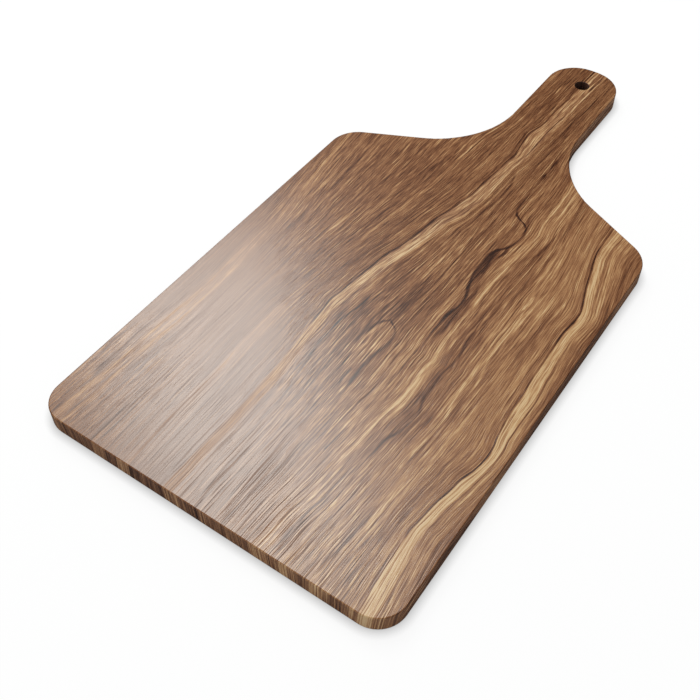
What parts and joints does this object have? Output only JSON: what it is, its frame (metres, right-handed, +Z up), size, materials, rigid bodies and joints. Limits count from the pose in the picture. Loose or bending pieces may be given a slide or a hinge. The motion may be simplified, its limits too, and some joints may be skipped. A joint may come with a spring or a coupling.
{
  "type": "paddle charcuterie board",
  "caption": "Flat walnut serving board with rounded corners, sloping shoulders and a paddle handle with a hanging hole, edge-glued from staves.",
  "frame": {"origin": "middle of the board's length and width, on its flat underside", "axes": "+Y along the board towards the handle's tip, +Z up out of the serving face, +X to the right seen from the front edge"},
  "size_m": [0.254, 0.509, 0.013],
  "materials": {
    "walnut": "oiled satin",
    "wood_glue": "matte"
  },
  "bodies": {
    "root": {"handle_stave": "walnut", "left_inner_stave": "walnut", "left_outer_stave": "walnut", "right_stave": "walnut", "left_inner_glue_line": "wood_glue", "left_outer_glue_line": "wood_glue", "right_glue_line": "wood_glue"}
  },
  "joints": []
}
